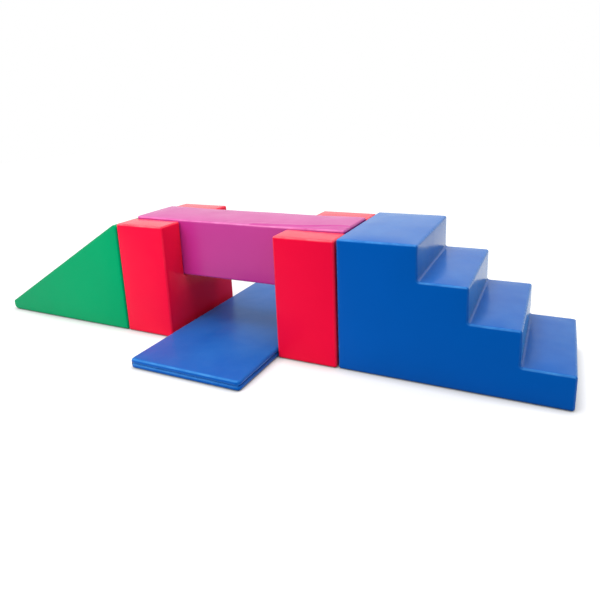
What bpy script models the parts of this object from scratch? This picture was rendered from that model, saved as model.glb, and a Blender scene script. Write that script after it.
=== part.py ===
"""Soft play foam climber for toddlers, modelled at its real size in metres.

Five loose modules stand in a row along X: a ramp, two notched supports that
carry a bridge, and a flight of stairs. A mat folded double lies through the
crawl tunnel under the bridge. Each module is foam blocks in a zipped vinyl
cover, and each one that stands on the floor has a non-slip base.

The origin is on the floor, under the middle of the whole set. +X runs from
the ramp to the stairs, and -Y is the front, where the mat sticks out.
"""

import math
from dataclasses import dataclass, field

import bmesh
import bpy
from mathutils import Vector

# Supports, in the order along X, across Y, and up.
SUPPORT_LENGTH = 0.250
SUPPORT_WIDTH = 0.500
SUPPORT_HEIGHT = 0.500
SUPPORT_SPACING = 0.525
NOTCH_WIDTH = 0.2516
NOTCH_FLOOR = 0.255

# Bridge, which lies in both notches and stands a little proud of them.
BRIDGE_LENGTH = 1.010
BRIDGE_WIDTH = 0.250
BRIDGE_HEIGHT = 0.2485
BRIDGE_SEAT_GAP = 0.0005
BRIDGE_INSET = 0.010

# Ramp, with a blunt toe at its low end.
RAMP_LENGTH = 0.772
RAMP_WIDTH = 0.500
RAMP_HEIGHT = 0.504
RAMP_TOE = 0.045
TOE_RADIUS = 0.026
TOE_STEPS = 5

# Stairs: the height of each level and the length of each tread, from the top down.
STAIRS_WIDTH = 0.500
LEVEL_HEIGHTS = (0.507, 0.378, 0.251, 0.124)
TREAD_LENGTHS = (0.293, 0.171, 0.169, 0.167)

# Mat, two panels of foam folded on one long side.
MAT_LENGTH = 1.000
MAT_WIDTH = 0.500
MAT_PANEL = 0.0205
MAT_PANEL_GAP = 0.0003
MAT_PROJECTION = 0.287
MAT_SIDE_GAP = 0.0015

# Gaps between modules that stand side by side, and how far back the stairs stand.
RAMP_GAP = 0.0046
STAIRS_GAP = 0.0069
STAIRS_OFFSET = 0.004

# Covers, base sheets and foam.
COVER_THICKNESS = 0.0012
CLEARANCE = 0.0003
FOAM_INSET = COVER_THICKNESS + CLEARANCE
BASE_THICKNESS = 0.0020
BASE_CORNER = 0.012
BASE_CORNER_STEPS = 4
BASE_MARGIN = 0.003
FOAM_FLOOR = BASE_THICKNESS + CLEARANCE
COVER_FLOOR = FOAM_FLOOR - FOAM_INSET
BLOCK_RADIUS = 0.011
MAT_RADIUS = 0.006
STAIR_FILLET = 0.014
NOTCH_FILLET = 0.004
GLUE_LINE = 0.0005
BEVEL_STEPS = 3
FILLET_STEPS = 4
SHARP_ANGLE = math.radians(35)
SMOOTH_ANGLE = math.radians(40)
SAME_WAY = 0.99
A_LITTLE = 0.0001
SMALLEST_CROWNED_FACE = 0.004

# Crowns, as (distance in from the last edge, rise) steps.
FULL_CROWN = ((0.010, 0.0009), (0.026, 0.0008))
NARROW_CROWN = ((0.010, 0.0012),)
CROWN_RISE = sum(rise for _, rise in FULL_CROWN)

# Zips, all on rear faces.
ZIP_SLOT = 0.010
MAT_ZIP_SLOT = 0.006
ZIP_HEIGHT = 0.030
RAMP_ZIP_START = 0.180
RAMP_ZIP_LENGTH = 0.540
SUPPORT_ZIP_MARGIN = 0.030
BRIDGE_ZIP_MARGIN = 0.020
STAIRS_ZIP_START = 0.070
STAIRS_ZIP_LENGTH = 0.660
MAT_ZIP_MARGIN = 0.050
ZIP_TAPE = 0.0007
ZIP_COIL_PROUD = 0.0009
ZIP_COIL_SHARE = 0.34
ZIP_END_MARGIN = 0.006
SLIDER_LENGTH = 0.008
SLIDER_BODY = 0.0015
SLIDER_WIDTH = 0.006
MAT_SLIDER_WIDTH = 0.0036
PULL_LENGTH = 0.020
PULL_THICKNESS = 0.0010
PULL_GAP = 0.0006
SLIDER_BACK = ZIP_COIL_PROUD - COVER_THICKNESS + ZIP_TAPE + CLEARANCE
ZIP_PROUD = SLIDER_BACK + SLIDER_BODY + PULL_GAP + PULL_THICKNESS

# Hinge welt of the mat.
HINGE_RADIUS = 0.0012
HINGE_SIDES = 10

# Places along X, from the ramp's toe to the stairs' lowest riser.
STAIRS_LENGTH = sum(TREAD_LENGTHS)
TOTAL_LENGTH = (
    RAMP_LENGTH + RAMP_GAP + 2 * SUPPORT_LENGTH + SUPPORT_SPACING + STAIRS_GAP
    + STAIRS_LENGTH + CROWN_RISE
)
RAMP_X = -TOTAL_LENGTH / 2
LEFT_SUPPORT_X = RAMP_X + RAMP_LENGTH + RAMP_GAP
TUNNEL_X = LEFT_SUPPORT_X + SUPPORT_LENGTH
RIGHT_SUPPORT_X = TUNNEL_X + SUPPORT_SPACING
STAIRS_X = RIGHT_SUPPORT_X + SUPPORT_LENGTH + STAIRS_GAP
BRIDGE_X = LEFT_SUPPORT_X + BRIDGE_INSET
MAT_X = RIGHT_SUPPORT_X - MAT_SIDE_GAP - MAT_WIDTH

# Places along Y and up.
MAT_Y = -(MAT_LENGTH + ZIP_PROUD) / 2
FRONT_Y = MAT_Y + MAT_PROJECTION
MIDDLE_Y = FRONT_Y + SUPPORT_WIDTH / 2
BRIDGE_Z = NOTCH_FLOOR + BRIDGE_SEAT_GAP
MAT_FOLD_Z = MAT_PANEL + MAT_PANEL_GAP / 2
MAT_UPPER_Z = MAT_PANEL + MAT_PANEL_GAP

RED = (0.83, 0.012, 0.05)
GREEN = (0.002, 0.38, 0.13)
PURPLE = (0.50, 0.04, 0.27)
BLUE = (0.0, 0.075, 0.38)
FOAM = (0.80, 0.78, 0.66)
BASE_GREY = (0.16, 0.19, 0.24)
ZIP_BLACK = (0.02, 0.02, 0.022)
SLIDER_METAL = (0.55, 0.55, 0.56)
VINYL_ROUGHNESS = 0.35
BASE_ROUGHNESS = 0.85
FOAM_ROUGHNESS = 0.95
TAPE_ROUGHNESS = 0.60
METAL_ROUGHNESS = 0.35


@dataclass
class Shape:
    """A prism along X or Y, given by its outline as (across, up) points."""

    outline: list
    axis: str
    low: float
    high: float
    radius: float = BLOCK_RADIUS
    fillet: float = 0.0
    crowns: list = field(default_factory=list)


def clear_scene():
    for obj in list(bpy.data.objects):
        bpy.data.objects.remove(obj, do_unlink=True)


def make_material(name, colour, roughness, metallic=0.0):
    material = bpy.data.materials.new(name)
    material.use_nodes = True
    shader = material.node_tree.nodes["Principled BSDF"]
    shader.inputs["Base Color"].default_value = (*colour, 1.0)
    shader.inputs["Roughness"].default_value = roughness
    shader.inputs["Metallic"].default_value = metallic
    return material


def make_pivot(name, place):
    pivot = bpy.data.objects.new(name, None)
    pivot.empty_display_size = 0.05
    pivot.location = place
    bpy.context.scene.collection.objects.link(pivot)
    return pivot


def make_object(name, bm, pivot, material=None):
    """An object under its pivot, from a mesh that is written in world places."""
    bmesh.ops.recalc_face_normals(bm, faces=bm.faces)
    bmesh.ops.translate(bm, verts=bm.verts, vec=-pivot.location)
    mesh = bpy.data.meshes.new(name)
    bm.to_mesh(mesh)
    bm.free()
    obj = bpy.data.objects.new(name, mesh)
    obj.parent = pivot
    bpy.context.scene.collection.objects.link(obj)
    if material:
        mesh.materials.append(material)
        mesh.shade_smooth()
        mesh.set_sharp_from_angle(angle=SMOOTH_ANGLE)
    return obj


def cut_away(obj, cutter):
    """Cuts one object from another and hides the cutter."""
    cutter.hide_render = True
    cutter.display_type = "WIRE"
    boolean = obj.modifiers.new(cutter.name, "BOOLEAN")
    boolean.operation = "DIFFERENCE"
    boolean.solver = "EXACT"
    boolean.object = cutter


def shrink(points, distance):
    """An outline, given anticlockwise, moved inwards by a distance."""
    moved = []
    count = len(points)
    for i in range(count):
        before, here, after = (Vector(points[(i + k) % count]) for k in (-1, 0, 1))
        into = (here - before).normalized()
        out = (after - here).normalized()
        inward_a = Vector((-into.y, into.x))
        inward_b = Vector((-out.y, out.x))
        scale = distance / (1 + inward_a.dot(inward_b))
        moved.append(tuple(here + (inward_a + inward_b) * scale))
    return moved


def fill_inner_corners(points, radius):
    """Rounds the inner corners of an outline, where a tight cover bridges them."""
    if not radius:
        return points
    rounded = []
    count = len(points)
    for i in range(count):
        before, here, after = (Vector(points[(i + k) % count]) for k in (-1, 0, 1))
        into = (here - before).normalized()
        out = (after - here).normalized()
        if into.cross(out) > -A_LITTLE:
            rounded.append(tuple(here))
            continue
        centre = here - into * radius + out * radius
        for step in range(FILLET_STEPS + 1):
            turn = math.pi / 2 * step / FILLET_STEPS
            rounded.append(tuple(centre + radius * (into * math.sin(turn) - out * math.cos(turn))))
    return rounded


def make_prism(points, axis, low, high):
    """A prism along X or Y, from (across, up) points, or along Z, from (x, y) points."""
    bm = bmesh.new()
    rings = []
    for along in (low, high):
        if axis == "X":
            places = [(along, across, up) for across, up in points]
        elif axis == "Y":
            places = [(across, along, up) for across, up in points]
        else:
            places = [(x, y, along) for x, y in points]
        rings.append([bm.verts.new(place) for place in places])
    bm.faces.new(rings[0])
    bm.faces.new(rings[1])
    for i in range(len(points)):
        j = (i + 1) % len(points)
        bm.faces.new((rings[0][i], rings[0][j], rings[1][j], rings[1][i]))
    bmesh.ops.recalc_face_normals(bm, faces=bm.faces)
    return bm


def box_outline(low, high, bottom, top):
    return [(low, bottom), (high, bottom), (high, top), (low, top)]


def make_box(low, high):
    return make_prism(box_outline(low[0], high[0], low[2], high[2]), "Y", low[1], high[1])


def round_edges(bm, radius, glued_below):
    """Rounds each outer edge, apart from those round a glued underside."""
    lowest = min(vert.co.z for vert in bm.verts) if glued_below else -1.0
    edges = [
        edge for edge in bm.edges
        if edge.is_convex
        and edge.calc_face_angle() > SHARP_ANGLE
        and max(vert.co.z for vert in edge.verts) > lowest + A_LITTLE
    ]
    bmesh.ops.bevel(
        bm, geom=edges, offset=radius, offset_type="OFFSET", segments=BEVEL_STEPS,
        profile=0.5, affect="EDGES", clamp_overlap=True,
    )


def raise_crowns(bm, crowns):
    """Lifts the middle of each face that points one of the given ways and is open to touch."""
    for direction, steps in crowns:
        way = Vector(direction).normalized()
        facing = [
            face for face in bm.faces
            if face.calc_area() > SMALLEST_CROWNED_FACE and face.normal.dot(way) > SAME_WAY
        ]
        if way.y:
            facing = [max(facing, key=lambda face: face.calc_center_median().dot(way))]
        for face in facing:
            for inset, rise in steps:
                bmesh.ops.inset_region(
                    bm, faces=[face], thickness=inset, depth=rise, use_even_offset=True
                )


def make_soft_solid(shape, inward, glued_below=False):
    """The shape with rounded edges and crowned faces, shrunk by a distance."""
    outline = shrink(shape.outline, inward)
    fillet = shape.fillet + inward if shape.fillet else 0.0
    bm = make_prism(
        fill_inner_corners(outline, fillet), shape.axis, shape.low + inward, shape.high - inward
    )
    round_edges(bm, shape.radius - inward, glued_below)
    raise_crowns(bm, shape.crowns)
    return bm


def rounded_rectangle(low, high, radius):
    """The outline of a sheet in plan, anticlockwise, with round corners."""
    corners = [(high[0], high[1]), (low[0], high[1]), (low[0], low[1]), (high[0], low[1])]
    points = []
    for quarter, corner in enumerate(corners):
        inward = Vector(((low[0] + high[0]) / 2, (low[1] + high[1]) / 2)) - Vector(corner)
        centre = Vector(corner) + Vector([math.copysign(radius, side) for side in inward])
        for step in range(BASE_CORNER_STEPS + 1):
            turn = math.pi / 2 * (quarter + step / BASE_CORNER_STEPS)
            points.append((centre.x + radius * math.cos(turn), centre.y + radius * math.sin(turn)))
    return points


@dataclass
class Footprint:
    """Where a non-slip sheet lies in the opening under its cover."""

    low: tuple
    high: tuple

    def sheet(self, spare, bottom, top):
        low = (self.low[0] - spare, self.low[1] - spare)
        high = (self.high[0] + spare, self.high[1] + spare)
        return make_prism(rounded_rectangle(low, high, BASE_CORNER + spare), "Z", bottom, top)


def footprint_of(low_x, high_x, low_y, high_y, radius):
    """A footprint inside the flat part of a rounded underside."""
    margin = radius + BASE_MARGIN
    return Footprint((low_x + margin, low_y + margin), (high_x - margin, high_y - margin))


def make_cover(prefix, shape, pivot, material, slot, footprint=None):
    """A vinyl shell with its zip slot, open underneath where a base sheet closes it."""
    cover = make_object(f"{prefix}_cover", make_soft_solid(shape, 0.0), pivot, material)
    inner = make_object(f"{prefix}_cover_inside", make_soft_solid(shape, COVER_THICKNESS), pivot)
    cut_away(cover, inner)
    cut_away(cover, make_object(f"{prefix}_cover_slot", slot, pivot))
    if footprint:
        opening = footprint.sheet(CLEARANCE, -BASE_THICKNESS, 2 * BASE_THICKNESS)
        cut_away(cover, make_object(f"{prefix}_cover_opening", opening, pivot))
    return cover


def make_base(name, footprint, pivot, material):
    """The non-slip sheet that closes a cover and meets the floor."""
    return make_object(name, footprint.sheet(0.0, 0.0, BASE_THICKNESS), pivot, material)


def make_foam(name, shape, pivot, material, glued_below=False):
    """A foam block with eased edges, which stay sharp where it is glued on another."""
    bm = make_soft_solid(shape, 0.0, glued_below)
    return make_object(name, bm, pivot, material)


def foam_box(low, high, cover_radius=BLOCK_RADIUS):
    """The shape of a foam block between two corners, along Y, in a cover of that radius."""
    outline = box_outline(low[0], high[0], low[2], high[2])
    return Shape(outline, "Y", low[1], high[1], cover_radius - FOAM_INSET)


@dataclass
class Zip:
    """A zip along X in a face that looks to the rear."""

    prefix: str
    start: float
    length: float
    face: float
    height: float
    slot: float = ZIP_SLOT
    pull_sideways: bool = False

    @property
    def slider_place(self):
        margin = ZIP_END_MARGIN + SLIDER_LENGTH / 2
        return Vector((self.start + margin, self.face, self.height))

    def slot_cutter(self):
        half = self.slot / 2
        reach = 2 * COVER_THICKNESS
        low = (self.start, self.face - reach, self.height - half)
        high = (self.start + self.length, self.face + reach, self.height + half)
        return make_box(low, high)


def make_zip_tape(closure, pivot, material):
    """The tape with its raised coil, a T in section."""
    half = closure.slot / 2 - CLEARANCE
    coil = half * ZIP_COIL_SHARE
    back = closure.face - COVER_THICKNESS
    front = back + ZIP_TAPE
    outline = [
        (back, -half), (front, -half), (front, -coil), (front + ZIP_COIL_PROUD, -coil),
        (front + ZIP_COIL_PROUD, coil), (front, coil), (front, half), (back, half),
    ]
    points = [(across, closure.height + up) for across, up in outline]
    low = closure.start + CLEARANCE
    high = closure.start + closure.length - CLEARANCE
    return make_object(f"{closure.prefix}_zip_tape", make_prism(points, "X", low, high), pivot, material)


def make_zip_slider(closure, material):
    """The slider with its pull, which hangs down, or lies along a thin mat's edge."""
    place = closure.slider_place
    pivot = make_pivot(f"{closure.prefix}_zip_slider_pivot", place)
    body_back = SLIDER_BACK
    body_front = body_back + SLIDER_BODY
    pull_back = body_front + PULL_GAP
    pull_front = pull_back + PULL_THICKNESS
    half = SLIDER_LENGTH / 2
    neck = half / 2
    outline = [
        (body_back, -half), (body_front, -half), (body_front, 0.0), (pull_back, 0.0),
        (pull_back, -PULL_LENGTH), (pull_front, -PULL_LENGTH), (pull_front, neck),
        (body_front, neck), (body_front, half), (body_back, half),
    ]
    if closure.pull_sideways:
        laid = [(place.x - along, place.y + out) for out, along in outline]
        low = place.z - MAT_SLIDER_WIDTH / 2
        bm = make_prism(laid, "Z", low, low + MAT_SLIDER_WIDTH)
    else:
        hung = [(place.y + out, place.z + along) for out, along in outline]
        low = place.x - SLIDER_WIDTH / 2
        bm = make_prism(hung, "X", low, low + SLIDER_WIDTH)
    return make_object(f"{closure.prefix}_zip_slider", bm, pivot, material)


def toe_arc():
    """The round underside of the ramp's toe, from the front of the toe to the floor."""
    points = []
    for step in range(TOE_STEPS + 1):
        turn = math.pi * (1 + step / TOE_STEPS / 2)
        x = RAMP_X + TOE_RADIUS * (1 + math.cos(turn))
        points.append((x, COVER_FLOOR + TOE_RADIUS * (1 + math.sin(turn))))
    return points


def build_ramp(materials):
    pivot = make_pivot("ramp_pivot", (RAMP_X + RAMP_LENGTH, MIDDLE_Y, 0.0))
    slope = (RAMP_HEIGHT - RAMP_TOE) / RAMP_LENGTH
    outline = toe_arc() + [
        (RAMP_X + RAMP_LENGTH, COVER_FLOOR), (RAMP_X + RAMP_LENGTH, RAMP_HEIGHT), (RAMP_X, RAMP_TOE),
    ]
    shape = Shape(
        outline, "Y", FRONT_Y, FRONT_Y + RAMP_WIDTH,
        crowns=[((0, -1, 0), NARROW_CROWN), ((-slope, 0, 1), FULL_CROWN)],
    )
    closure = Zip("ramp", RAMP_X + RAMP_ZIP_START, RAMP_ZIP_LENGTH, FRONT_Y + RAMP_WIDTH, ZIP_HEIGHT)
    flat_from = RAMP_X + TOE_RADIUS - BLOCK_RADIUS
    footprint = footprint_of(flat_from, RAMP_X + RAMP_LENGTH, shape.low, shape.high, BLOCK_RADIUS)
    make_cover("ramp", shape, pivot, materials["ramp_vinyl"], closure.slot_cutter(), footprint)
    make_base("ramp_base", footprint, pivot, materials["ramp_base"])
    foam = Shape(
        shrink(outline, FOAM_INSET), "Y", shape.low + FOAM_INSET, shape.high - FOAM_INSET,
        radius=BLOCK_RADIUS - FOAM_INSET,
    )
    make_foam("ramp_foam", foam, pivot, materials["ramp_foam"])
    make_zip_tape(closure, pivot, materials["ramp_zip"])
    make_zip_slider(closure, materials["ramp_zip_slider"])


def build_support(prefix, left, front, materials):
    pivot = make_pivot(f"{prefix}_pivot", (left, front + SUPPORT_WIDTH / 2, 0.0))
    rear = front + SUPPORT_WIDTH
    cheek = (SUPPORT_WIDTH - NOTCH_WIDTH) / 2
    outline = [
        (front, COVER_FLOOR), (rear, COVER_FLOOR), (rear, SUPPORT_HEIGHT),
        (rear - cheek, SUPPORT_HEIGHT), (rear - cheek, NOTCH_FLOOR),
        (front + cheek, NOTCH_FLOOR), (front + cheek, SUPPORT_HEIGHT), (front, SUPPORT_HEIGHT),
    ]
    shape = Shape(
        outline, "X", left, left + SUPPORT_LENGTH, fillet=NOTCH_FILLET,
        crowns=[((0, -1, 0), FULL_CROWN)],
    )
    zip_length = SUPPORT_LENGTH - 2 * SUPPORT_ZIP_MARGIN
    closure = Zip(prefix, left + SUPPORT_ZIP_MARGIN, zip_length, rear, ZIP_HEIGHT)
    footprint = footprint_of(shape.low, shape.high, front, rear, BLOCK_RADIUS)
    make_cover(prefix, shape, pivot, materials[f"{prefix}_vinyl"], closure.slot_cutter(), footprint)
    make_base(f"{prefix}_base", footprint, pivot, materials[f"{prefix}_base"])
    low_x, high_x = left + FOAM_INSET, left + SUPPORT_LENGTH - FOAM_INSET
    low_y, high_y = front + FOAM_INSET, rear - FOAM_INSET
    shelf = NOTCH_FLOOR - FOAM_INSET
    cheek_foot = shelf + GLUE_LINE
    top = SUPPORT_HEIGHT - FOAM_INSET
    blocks = {
        "lower_foam": ((low_x, low_y, FOAM_FLOOR), (high_x, high_y, shelf)),
        "front_cheek_foam": ((low_x, low_y, cheek_foot), (high_x, front + cheek - FOAM_INSET, top)),
        "rear_cheek_foam": ((low_x, rear - cheek + FOAM_INSET, cheek_foot), (high_x, high_y, top)),
    }
    for part, (low, high) in blocks.items():
        name = f"{prefix}_{part}"
        make_foam(name, foam_box(low, high), pivot, materials[name], glued_below=low[2] > FOAM_FLOOR)
    make_zip_tape(closure, pivot, materials[f"{prefix}_zip"])
    make_zip_slider(closure, materials[f"{prefix}_zip_slider"])


def build_bridge(materials):
    pivot = make_pivot("bridge_pivot", (BRIDGE_X, MIDDLE_Y, BRIDGE_Z))
    front = MIDDLE_Y - BRIDGE_WIDTH / 2
    rear = MIDDLE_Y + BRIDGE_WIDTH / 2
    outline = box_outline(front, rear, BRIDGE_Z, BRIDGE_Z + BRIDGE_HEIGHT)
    shape = Shape(
        outline, "X", BRIDGE_X, BRIDGE_X + BRIDGE_LENGTH, crowns=[((0, 0, 1), FULL_CROWN)]
    )
    zip_length = SUPPORT_SPACING - 2 * BRIDGE_ZIP_MARGIN
    closure = Zip("bridge", TUNNEL_X + BRIDGE_ZIP_MARGIN, zip_length, rear, BRIDGE_Z + ZIP_HEIGHT)
    make_cover("bridge", shape, pivot, materials["bridge_vinyl"], closure.slot_cutter())
    low = (BRIDGE_X + FOAM_INSET, front + FOAM_INSET, BRIDGE_Z + FOAM_INSET)
    high = (
        BRIDGE_X + BRIDGE_LENGTH - FOAM_INSET, rear - FOAM_INSET,
        BRIDGE_Z + BRIDGE_HEIGHT - FOAM_INSET,
    )
    make_foam("bridge_foam", foam_box(low, high), pivot, materials["bridge_foam"])
    make_zip_tape(closure, pivot, materials["bridge_zip"])
    make_zip_slider(closure, materials["bridge_zip_slider"])


def build_stairs(materials):
    front = FRONT_Y + STAIRS_OFFSET
    rear = front + STAIRS_WIDTH
    pivot = make_pivot("stairs_pivot", (STAIRS_X, front + STAIRS_WIDTH / 2, 0.0))
    ends = [STAIRS_X + sum(TREAD_LENGTHS[: i + 1]) for i in range(len(TREAD_LENGTHS))]
    outline = [(STAIRS_X, COVER_FLOOR), (ends[-1], COVER_FLOOR)]
    for i in reversed(range(len(ends))):
        outline.append((ends[i], LEVEL_HEIGHTS[i]))
        outline.append((ends[i - 1] if i else STAIRS_X, LEVEL_HEIGHTS[i]))
    shape = Shape(
        outline, "Y", front, rear, fillet=STAIR_FILLET,
        crowns=[((0, -1, 0), FULL_CROWN), ((0, 0, 1), FULL_CROWN), ((1, 0, 0), FULL_CROWN)],
    )
    closure = Zip("stairs", STAIRS_X + STAIRS_ZIP_START, STAIRS_ZIP_LENGTH, rear, ZIP_HEIGHT)
    footprint = footprint_of(STAIRS_X, ends[-1], front, rear, BLOCK_RADIUS)
    make_cover("stairs", shape, pivot, materials["stairs_vinyl"], closure.slot_cutter(), footprint)
    make_base("stairs_base", footprint, pivot, materials["stairs_base"])
    floors = [level - FOAM_INSET + GLUE_LINE for level in LEVEL_HEIGHTS[1:]] + [FOAM_FLOOR]
    for i, (end, level, floor) in enumerate(zip(ends, LEVEL_HEIGHTS, floors)):
        low = (STAIRS_X + FOAM_INSET, front + FOAM_INSET, floor)
        high = (end - FOAM_INSET, rear - FOAM_INSET, level - FOAM_INSET)
        name = f"stairs_foam_slab_{i + 1}"
        make_foam(name, foam_box(low, high), pivot, materials[name], glued_below=floor > FOAM_FLOOR)
    make_zip_tape(closure, pivot, materials["stairs_zip"])
    make_zip_slider(closure, materials["stairs_zip_slider"])


def mat_zip(prefix, height):
    length = MAT_WIDTH - 2 * MAT_ZIP_MARGIN
    rear = MAT_Y + MAT_LENGTH
    return Zip(prefix, MAT_X + MAT_ZIP_MARGIN, length, rear, height, MAT_ZIP_SLOT, True)


def build_mat_panel(prefix, bottom, top, crowns, pivot, materials, footprint=None):
    """One panel of the mat: its cover, foam, zip tape and slider."""
    rear = MAT_Y + MAT_LENGTH
    outline = box_outline(MAT_X, MAT_X + MAT_WIDTH, bottom, top)
    shape = Shape(outline, "Y", MAT_Y, rear, radius=MAT_RADIUS, crowns=crowns)
    closure = mat_zip(prefix, (bottom + top) / 2)
    make_cover(prefix, shape, pivot, materials["mat_vinyl"], closure.slot_cutter(), footprint)
    low = (MAT_X + FOAM_INSET, MAT_Y + FOAM_INSET, bottom + FOAM_INSET)
    high = (MAT_X + MAT_WIDTH - FOAM_INSET, rear - FOAM_INSET, top - FOAM_INSET)
    foam = foam_box(low, high, MAT_RADIUS)
    make_foam(f"{prefix}_foam", foam, pivot, materials[f"{prefix}_foam"])
    make_zip_tape(closure, pivot, materials[f"{prefix}_zip"])
    make_zip_slider(closure, materials[f"{prefix}_zip_slider"])


def build_mat_lower(materials):
    pivot = make_pivot("mat_pivot", (MAT_X, MAT_Y, 0.0))
    footprint = footprint_of(MAT_X, MAT_X + MAT_WIDTH, MAT_Y, MAT_Y + MAT_LENGTH, MAT_RADIUS)
    build_mat_panel("mat_lower", COVER_FLOOR, MAT_PANEL, [], pivot, materials, footprint)
    make_base("mat_base", footprint, pivot, materials["mat_base"])
    build_mat_hinge(materials)


def build_mat_hinge(materials):
    """The sewn welt in the groove between the panels, on the fold's axis."""
    centre = (MAT_X + HINGE_RADIUS, MAT_FOLD_Z)
    pivot = make_pivot("mat_hinge_pivot", (centre[0], MAT_Y, centre[1]))
    turns = [2 * math.pi * i / HINGE_SIDES for i in range(HINGE_SIDES)]
    ring = [
        (centre[0] + HINGE_RADIUS * math.cos(turn), centre[1] + HINGE_RADIUS * math.sin(turn))
        for turn in turns
    ]
    welt = make_prism(ring, "Y", MAT_Y + MAT_RADIUS, MAT_Y + MAT_LENGTH - MAT_RADIUS)
    make_object("mat_hinge_welt", welt, pivot, materials["mat_hinge"])


def build_mat_upper(materials):
    pivot = make_pivot("mat_fold_pivot", (MAT_X + HINGE_RADIUS, MAT_Y, MAT_FOLD_Z))
    top = MAT_UPPER_Z + MAT_PANEL
    build_mat_panel("mat_upper", MAT_UPPER_Z, top, [((0, 0, 1), FULL_CROWN)], pivot, materials)


def make_materials():
    """One material for each sub-part, by its own name."""
    vinyls = {
        "ramp": GREEN, "left_support": RED, "right_support": RED, "bridge": PURPLE,
        "stairs": BLUE, "mat": BLUE,
    }
    materials = {f"{name}_vinyl": make_material(f"{name}_vinyl", colour, VINYL_ROUGHNESS)
                 for name, colour in vinyls.items()}
    for name in ("ramp", "left_support", "right_support", "stairs", "mat"):
        materials[f"{name}_base"] = make_material(f"{name}_base", BASE_GREY, BASE_ROUGHNESS)
    foams = ["ramp_foam", "bridge_foam", "mat_lower_foam", "mat_upper_foam"]
    foams += [f"{side}_support_{part}" for side in ("left", "right")
              for part in ("lower_foam", "front_cheek_foam", "rear_cheek_foam")]
    foams += [f"stairs_foam_slab_{i + 1}" for i in range(len(TREAD_LENGTHS))]
    for name in foams:
        materials[name] = make_material(name, FOAM, FOAM_ROUGHNESS)
    for name in ("ramp", "left_support", "right_support", "bridge", "stairs", "mat_lower", "mat_upper"):
        materials[f"{name}_zip"] = make_material(f"{name}_zip", ZIP_BLACK, TAPE_ROUGHNESS)
        slider = f"{name}_zip_slider"
        materials[slider] = make_material(slider, SLIDER_METAL, METAL_ROUGHNESS, 1.0)
    materials["mat_hinge"] = make_material("mat_hinge", BLUE, VINYL_ROUGHNESS)
    return materials


def main():
    clear_scene()
    materials = make_materials()
    build_ramp(materials)
    build_support("left_support", LEFT_SUPPORT_X, FRONT_Y, materials)
    build_support("right_support", RIGHT_SUPPORT_X, FRONT_Y, materials)
    build_bridge(materials)
    build_stairs(materials)
    build_mat_lower(materials)
    build_mat_upper(materials)
    bpy.context.view_layer.update()


main()
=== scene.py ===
import math
from dataclasses import dataclass, field, replace

import bmesh
import bpy
import numpy as np
from mathutils import Matrix, Vector, noise
from mathutils.bvhtree import BVHTree
from mathutils.geometry import delaunay_2d_cdt


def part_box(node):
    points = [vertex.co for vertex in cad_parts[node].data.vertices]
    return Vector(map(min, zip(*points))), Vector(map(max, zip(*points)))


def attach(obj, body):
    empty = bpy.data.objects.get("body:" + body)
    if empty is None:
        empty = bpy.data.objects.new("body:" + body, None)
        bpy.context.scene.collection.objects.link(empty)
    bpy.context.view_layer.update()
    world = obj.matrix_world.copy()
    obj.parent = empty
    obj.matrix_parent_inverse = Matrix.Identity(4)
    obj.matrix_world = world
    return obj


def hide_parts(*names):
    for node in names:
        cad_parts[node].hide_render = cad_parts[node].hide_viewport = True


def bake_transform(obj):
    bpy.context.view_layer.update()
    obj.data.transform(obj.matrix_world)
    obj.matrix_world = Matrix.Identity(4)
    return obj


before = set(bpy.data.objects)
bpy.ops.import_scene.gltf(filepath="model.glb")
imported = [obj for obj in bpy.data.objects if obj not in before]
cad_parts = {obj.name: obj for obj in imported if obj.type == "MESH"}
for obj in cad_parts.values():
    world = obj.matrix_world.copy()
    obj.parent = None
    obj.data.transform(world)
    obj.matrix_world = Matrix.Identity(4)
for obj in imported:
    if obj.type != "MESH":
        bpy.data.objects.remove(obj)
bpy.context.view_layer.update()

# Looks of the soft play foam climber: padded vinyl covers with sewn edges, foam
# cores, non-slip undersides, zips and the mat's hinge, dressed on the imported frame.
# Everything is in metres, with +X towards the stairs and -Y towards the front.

# Covers and foam.
COVER = 0.0012
FOAM_INSET = 0.0015
FLOOR_GAP = 0.0008
BLOCK_RADIUS = 0.0085
MAT_RADIUS = 0.0092
MAT_REAR_RADIUS = 0.006
MAT_CORNER = 0.016
CORNER_SPARE = 0.0004
STAIR_FILLET = 0.010
NOTCH_FILLET = 0.004
RAMP_TOP = 0.504
RAMP_TOE = 0.045
TOE_RADIUS = 0.026
APEX_RADIUS = 0.017
BRIDGE_RISE = 0.003
CLEARANCE = 0.0003
OPENING_DEPTH = 0.001
SHEET_RADIUS = 0.0005

# A long fold in the bridge's top, as (along, across) places from its front left corner,
# and how far the swells on either side of it lie from it.
BRIDGE_FOLD = ((0.60, 0.004), (0.72, 0.012), (0.84, 0.027), (0.93, 0.045), (1.00, 0.060))
BESIDE_FOLD = 0.014

# The dimple near the top of the left support: how far in from its right edge, and how high.
DIMPLE_IN, DIMPLE_HEIGHT = 0.045, 0.405

# How finely the soft surfaces are drawn, and how near two places count as one.
STEP = 0.0125
BRIDGE_STEP = 0.0070
CORE_STEP = 0.040
ROUND_STEPS = 10
CORE_ROUND_STEPS = 4
SHEET_ROUND_STEPS = 2
NEAR = 1e-5
STRAIGHT = 0.99
RIM_SPARE, OPENING_SPARE = 0.45, 0.3
LEAST_HEIGHT = 1e-6

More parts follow.
